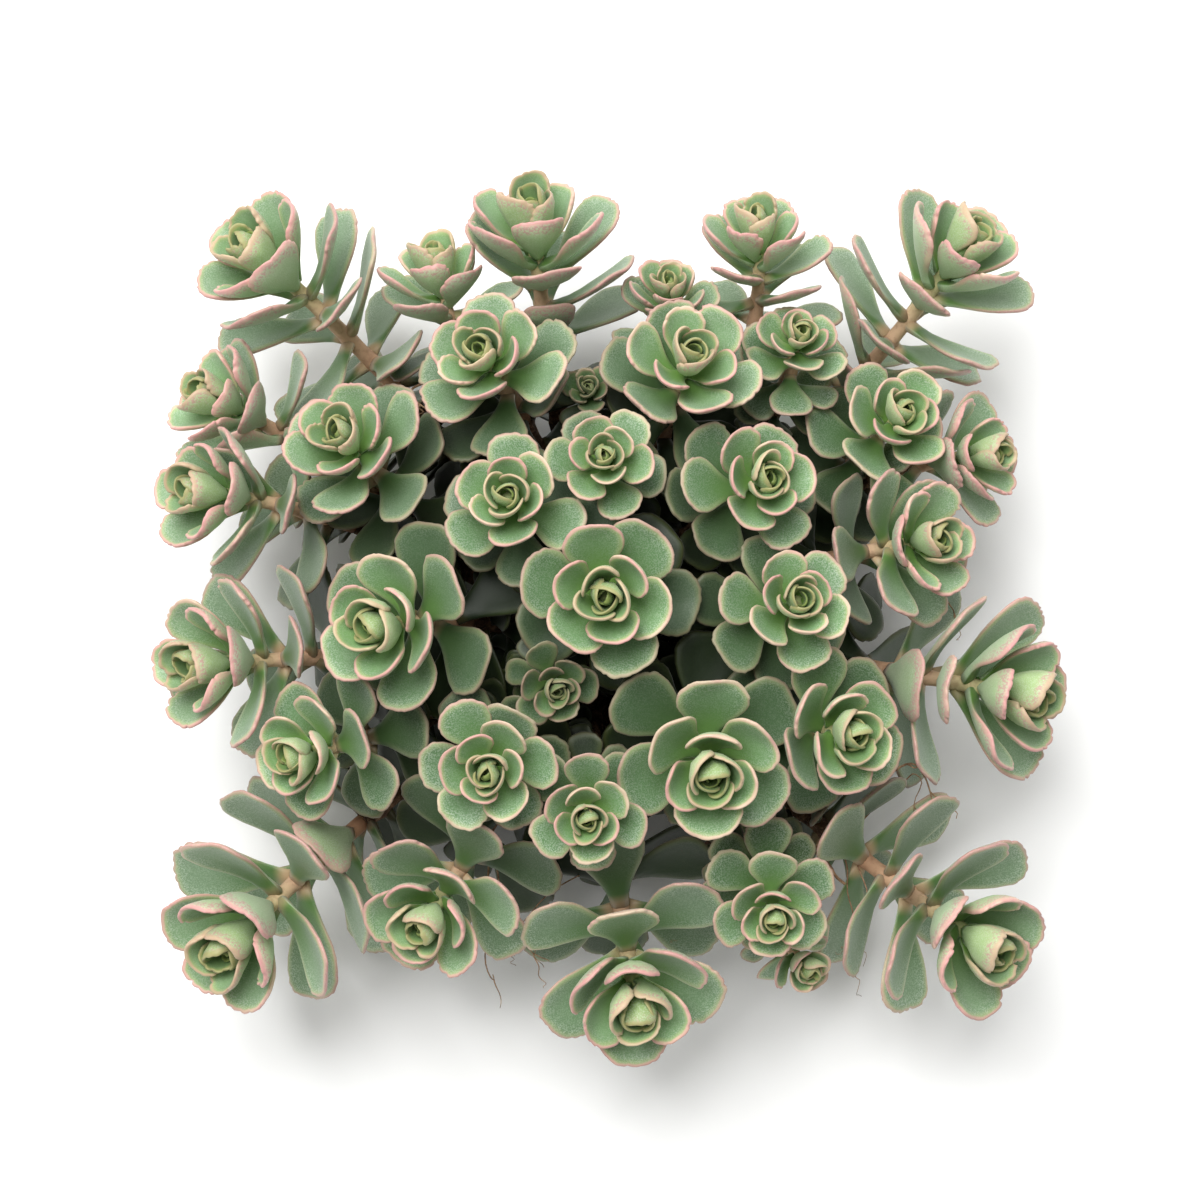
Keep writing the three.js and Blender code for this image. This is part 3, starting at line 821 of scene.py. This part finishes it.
def dry_piece(stems, material):
    """Dry threads that grow from the woody stems, and withered leaves that still hang on them."""
    mesh = Mesh()
    wood = np.array([stem.at(run)[0] for stem in stems for run in np.arange(stem.foot, stem.runs[-1], 2)])
    for index, (place, end, radius, twigs) in enumerate(THREADS):
        place, end = np.array(place, float), np.array(end, float)
        start = wood[np.argmin(np.linalg.norm(wood - place, axis=1))]
        line = thread_path(start, place, end, (index, 501))
        mesh.add(*tube(line, np.linspace(radius, 0.4 * radius, THREAD_STEPS), THREAD_SIDES))
        for twig in range(twigs):
            fork = line[-3 - 3 * twig]
            stray = np.array([draw(index, twig, k, 503) for k in range(3)])
            way = (end - place) * 0.5 + TWIG_SPREAD * stray
            side = thread_path(fork, fork + 0.5 * way, fork + way, (index, twig, 504))
            mesh.add(*tube(side, np.linspace(0.6 * radius, 0.25 * radius, THREAD_STEPS), TWIG_SIDES))
    for index, run, which in WITHERED:
        leaf = Leaf(stems[index], WITHERED_WHORL, which, (run, *WITHERED_LEAF))
        mesh.add(PLAIN.skin(leaf)[0], PLAIN.faces)
    piece = mesh.build("dry_bits", [material])
    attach(piece, "root")
    return piece


class Shader:
    """A material's nodes, made by short calls that return an output socket."""

    def __init__(self, name, **settings):
        self.material = bpy.data.materials.new(name)
        self.material.use_nodes = True
        self.tree = self.material.node_tree
        self.shader = self.tree.nodes["Principled BSDF"]
        for setting, value in settings.items():
            socket = setting.replace("_", " ").title().replace("Ior", "IOR")
            self.shader.inputs[socket].default_value = value

    def node(self, kind, **settings):
        node = self.tree.nodes.new(kind)
        for key, value in settings.items():
            setattr(node, key, value)
        return node

    def wire(self, socket, value):
        if isinstance(value, bpy.types.NodeSocket):
            self.tree.links.new(value, socket)
        else:
            socket.default_value = value

    def value(self, name):
        return self.node("ShaderNodeAttribute", attribute_name=name).outputs["Fac"]

    def noise(self, per_mm, detail=2.0, rough=0.5):
        node = self.node("ShaderNodeTexNoise")
        node.inputs["Scale"].default_value = per_mm / MM
        node.inputs["Detail"].default_value = detail
        node.inputs["Roughness"].default_value = rough
        self.wire(node.inputs["Vector"], self.node("ShaderNodeTexCoord").outputs["Object"])
        return node.outputs["Fac"]

    def step(self, value, low, high, to_low=0.0, to_high=1.0):
        """Maps a value smoothly from low..high to to_low..to_high."""
        node = self.node("ShaderNodeMapRange", interpolation_type="SMOOTHSTEP")
        for key, number in (("From Min", low), ("From Max", high), ("To Min", to_low), ("To Max", to_high)):
            node.inputs[key].default_value = number
        self.wire(node.inputs["Value"], value)
        return node.outputs["Result"]

    def math(self, operation, first, *others):
        for other in others:
            node = self.node("ShaderNodeMath", operation=operation)
            self.wire(node.inputs[0], first)
            self.wire(node.inputs[1], other)
            first = node.outputs[0]
        return first

    def times(self, *values):
        return self.math("MULTIPLY", *values)

    def plus(self, *values):
        return self.math("ADD", *values)

    def mix(self, share, a, b, blend="MIX"):
        node = self.node("ShaderNodeMix", data_type="RGBA", blend_type=blend)
        self.wire(node.inputs["Factor"], share)
        self.wire(node.inputs[6], a)
        self.wire(node.inputs[7], b)
        return node.outputs[2]

    def grey(self, value):
        node = self.node("ShaderNodeCombineColor")
        for socket in node.inputs:
            self.wire(socket, value)
        return node.outputs["Color"]

    def ramp(self, value, *stops):
        node = self.node("ShaderNodeValToRGB")
        self.wire(node.inputs["Fac"], value)
        elements = node.color_ramp.elements
        for _ in stops[2:]:
            elements.new(0.5)
        for element, (place, colour) in zip(elements, stops):
            element.position, element.color = place, colour
        return node.outputs["Color"]

    def shades(self, value, *stops):
        return self.ramp(value, *[(place, colour(code)) for place, code in stops])

    def bump(self, height, distance, strength=1.0, under=None):
        node = self.node("ShaderNodeBump")
        node.inputs["Distance"].default_value = distance * MM
        node.inputs["Strength"].default_value = strength
        self.wire(node.inputs["Height"], height)
        if under:
            self.wire(node.inputs["Normal"], under)
        return node.outputs["Normal"]


def colour(code):
    """Linear RGBA from a hexadecimal sRGB colour."""
    parts = [int(code[i : i + 2], 16) / 255 for i in (0, 2, 4)]
    return (*[p / 12.92 if p <= 0.04045 else ((p + 0.055) / 1.055) ** 2.4 for p in parts], 1.0)


def leaf_material():
    """Waxy grey-green flesh, greener and, as painted shade, darker at the foot, with a powdery bloom and a
    narrow rose margin.

    Edge is in mm from the leaf's edge, negative on its back. The other values run from 0 to 1, tint from -1.
    """
    s = Shader("leaf", roughness=0.5, specular_ior_level=0.4, sheen_weight=0.08, sheen_roughness=0.5)
    edge, along, age, shade, sun, tint = (s.value(name) for name in Mesh.VALUES)
    grain = s.noise(3.0, 2.0, 0.75)
    drift = s.plus(s.noise(0.2, 3.0, 0.6), -0.5)

    # The upper face: greener and, as painted shade, darker towards the foot; powdery towards the margin.
    # The youngest, bud colours are darker as painted shade inside the closed bud.
    body =s.shades(age, (0.0, "668636"), (0.3, "789E68"), (0.63, "5A7C53"), (0.93, "455E38"))
    body = s.mix(s.times(sun, s.step(age, 0.0, 0.3, 0.1, 0.35)), body, colour("8EA488"))
    deep = s.shades(age, (0.0, "5C8030"), (0.3, "62873D"), (0.68, "4A6B38"))
    top = s.mix(s.step(along, 0.2, 0.8), deep, body)
    powder = s.times(s.step(grain, 0.46, 0.58), s.step(along, 0.2, 0.8), s.step(edge, 5.5, 0.8, 0.2, 0.52))
    powder = s.times(powder, s.step(age, 0.1, 0.5, 0.2, 1.0), s.step(shade, 0.0, 1.0, 1.0, 0.3))
    top = s.mix(powder, top, colour("C6D2C0"))

    # The back: paler, with a rose flush and rose dots towards its end. It is greener on the bud's youngest
    # leaves, and darker there as painted shade inside the bud.
    below =s.shades(age, (0.0, "648236"), (0.25, "A6BE86"), (0.5, "A8BD98"), (0.93, "8CA272"))
    below = s.mix(s.times(s.step(grain, 0.46, 0.6), 0.28), below, colour("D6DECC"))
    tip = s.step(s.plus(edge, s.times(drift, 5.0)), -5.5, -0.5)
    tip = s.times(tip, s.step(along, 0.3, 0.95))
    tip = s.times(tip, s.step(sun, 0.0, 0.8, 0.3, 1.0), s.step(age, 0.05, 0.33, 0.25, 1.0))
    below = s.mix(s.times(tip, 0.3), below, colour("D0A9AA"))
    dots = s.step(s.plus(s.noise(1.7, 1.0), s.times(tip, 0.05)), 0.52, 0.6)
    below = s.mix(s.times(dots, s.step(tip, 0.02, 0.6), 0.6), below, colour("BC7C86"))
    face = s.mix(s.step(edge, -0.06, 0.06), below, top)

    # The margin: a cream band inside a rim whose reach and colour drift, and a rose line right at the edge.
    outer = s.step(along, 0.15, 0.55)
    # The cream band and the rose rim start dark at age 0, as painted shade inside the closed bud.
    cream = s.times(s.step(edge, 0.05, 0.3), s.step(edge, 2.3, 0.4), outer, 0.62)
    face = s.mix(cream, face, s.shades(age, (0.0, "788C44"), (0.3, "B4C284"), (0.68, "AAB486")))
    shift = s.plus(s.times(drift, 2.4), s.times(s.plus(grain, -0.5), 0.9), s.times(tint, 0.3))
    shift = s.plus(shift, s.times(sun, 0.3))
    end = s.step(along, 0.55, 0.95)
    inside = s.plus(edge, s.times(shift, -0.25), s.times(end, -0.4))
    rim = s.times(s.step(inside, 0.55, 0.0), s.step(s.plus(edge, shift), -1.2, -0.2))
    rose = s.shades(
        age,
        (0.0, "7C8A48"),
        (0.15, "A69A6C"),
        (0.33, "DCAAA0"),
        (0.68, "BE968A"),
        (0.93, "A08672"),
    )
    rose = s.mix(s.step(end, 0.0, 1.0, 0.4, 0.0), rose, colour("C4B690"))
    pale = s.step(s.plus(tint, s.times(drift, 3.0), s.times(sun, -0.6)), -0.3, 0.9)
    rose = s.mix(s.times(pale, s.step(age, 0.15, 0.3), 0.4), rose, colour("CEC6A0"))
    line = s.times(s.step(edge, 0.3, 0.02), s.step(edge, -0.8, -0.2))
    line = s.times(line, s.step(age, 0.2, 0.35), s.step(pale, 1.0, 0.0))
    rose = s.mix(s.times(line, 0.55), rose, colour("C88084"))
    rose = s.mix(s.times(shade, 0.6), rose, colour("ACAF86"))
    face = s.mix(s.times(rim, outer, s.step(age, 0.33, 0.68, 0.85, 0.65)), face, rose)

    # A tan foot and brown spots on old leaves, then the leaf's own tint, and last painted shade deep inside
    # the clump.
    foot =s.times(s.step(along, 0.17, 0.03), s.step(age, 0.45, 0.63), 0.75)
    face = s.mix(foot, face, colour("C09F80"))
    spots = s.times(s.step(s.noise(0.16, 4.0, 0.6), 0.7, 0.76), s.step(age, 0.45, 0.9), 0.6)
    face = s.mix(spots, face, colour("8A6A4C"))
    face = s.mix(1.0, face, s.grey(s.plus(1.0, s.times(tint, 0.07))), "MULTIPLY")
    face = s.mix(shade, face, colour("505B34"), "MULTIPLY")
    s.wire(s.shader.inputs["Base Color"], face)
    fine = s.bump(grain, 0.05, 0.5)
    s.wire(s.shader.inputs["Normal"], s.bump(s.noise(0.14, 2.0), 0.4, 0.5, fine))
    return s.material


def stem_material():
    """Green at the bud, rose-tan further down, finely streaked."""
    s = Shader("green_stem", roughness=0.6, specular_ior_level=0.3)
    skin = s.shades(s.value("along"), (0.0, "A9B67C"), (0.45, "C2A284"), (1.0, "9C7256"))
    skin = s.mix(s.step(s.noise(0.5, 4.0, 0.6), 0.45, 0.7, 0.0, 0.45), skin, colour("86644C"))
    s.wire(s.shader.inputs["Base Color"], skin)
    s.wire(s.shader.inputs["Normal"], s.bump(s.noise(0.6, 3.0), 0.25))
    return s.material


def bark_material():
    """Dry brown bark, flaking and darker in its cracks."""
    s = Shader("bark", roughness=0.85, specular_ior_level=0.2)
    grain = s.noise(0.35, 5.0, 0.65)
    skin = s.shades(grain, (0.3, "2E2018"), (0.5, "5D4433"), (0.7, "8A6B50"))
    skin = s.mix(s.step(s.noise(1.6, 2.0), 0.55, 0.7, 0.0, 0.4), skin, colour("A58A6D"))
    s.wire(s.shader.inputs["Base Color"], skin)
    s.wire(s.shader.inputs["Normal"], s.bump(grain, 0.8))
    return s.material


def dry_material():
    """Straw-brown, papery skin of dry threads and withered leaves."""
    s = Shader("dry", roughness=0.8, specular_ior_level=0.2)
    grain = s.noise(0.6, 4.0, 0.6)
    s.wire(s.shader.inputs["Base Color"], s.shades(grain, (0.3, "5A4130"), (0.5, "94745A"), (0.7, "C0A27F")))
    s.wire(s.shader.inputs["Normal"], s.bump(grain, 0.3))
    return s.material


def floor_material():
    s = Shader("floor", roughness=0.8, specular_ior_level=0.1)
    s.wire(s.shader.inputs["Base Color"], s.shades(s.noise(0.002), (0.3, "F4F4F3"), (0.7, "F7F7F6")))
    return s.material


def add_floor():
    mesh = bpy.data.meshes.new("floor")
    corners = [(x * FLOOR_HALF, y * FLOOR_HALF, 0) for x, y in ((-1, -1), (1, -1), (1, 1), (-1, 1))]
    mesh.from_pydata(corners, [], [(0, 1, 2, 3)])
    mesh.materials.append(floor_material())
    floor = bpy.data.objects.new("floor", mesh)
    bpy.context.scene.collection.objects.link(floor)


def add_light(name, place, size, watts):
    light = bpy.data.lights.new(name, "AREA")
    light.energy, light.size = watts, size
    lamp = bpy.data.objects.new(name, light)
    lamp.location = place
    lamp.rotation_mode = "QUATERNION"
    lamp.rotation_quaternion = (CAMERA_TARGET - Vector(place)).to_track_quat("-Z", "Y")
    bpy.context.scene.collection.objects.link(lamp)


def add_sky():
    world = bpy.data.worlds.new("studio")
    world.use_nodes = True
    background = world.node_tree.nodes["Background"]
    background.inputs["Color"].default_value = (1, 1, 1, 1)
    background.inputs["Strength"].default_value = SKY_STRENGTH
    bpy.context.scene.world = world


def add_camera():
    angle = math.radians(CAMERA_ELEVATION)
    back = Vector((0, -math.cos(angle), math.sin(angle)))
    data = bpy.data.cameras.new("camera")
    data.lens, data.sensor_width = CAMERA_LENS, 36
    data.clip_start, data.clip_end = 0.05, 20
    camera = bpy.data.objects.new("camera", data)
    camera.location = CAMERA_TARGET + back * CAMERA_DISTANCE
    camera.rotation_mode = "QUATERNION"
    camera.rotation_quaternion = (-back).to_track_quat("-Z", "Y")
    bpy.context.scene.collection.objects.link(camera)
    bpy.context.scene.camera = camera


def main():
    add_camera()
    add_floor()
    add_sky()
    for name, place, size, watts in LIGHTS:
        add_light(name, place, size, watts)
    bpy.context.scene.view_settings.view_transform = "Standard"
    stems = [Stem(index, row) for index, row in enumerate(STEMS)]
    leaves = [settled_leaves(stem) for stem in stems]
    taken = Taken([leaf for group in leaves for leaf in group])
    materials = [leaf_material(), stem_material()]
    for stem, group in zip(stems, leaves):
        leafy_piece(stem, group + old_leaves(stem, taken), materials)
    woody_piece(stems, bark_material())
    dry_piece(stems, dry_material())


main()
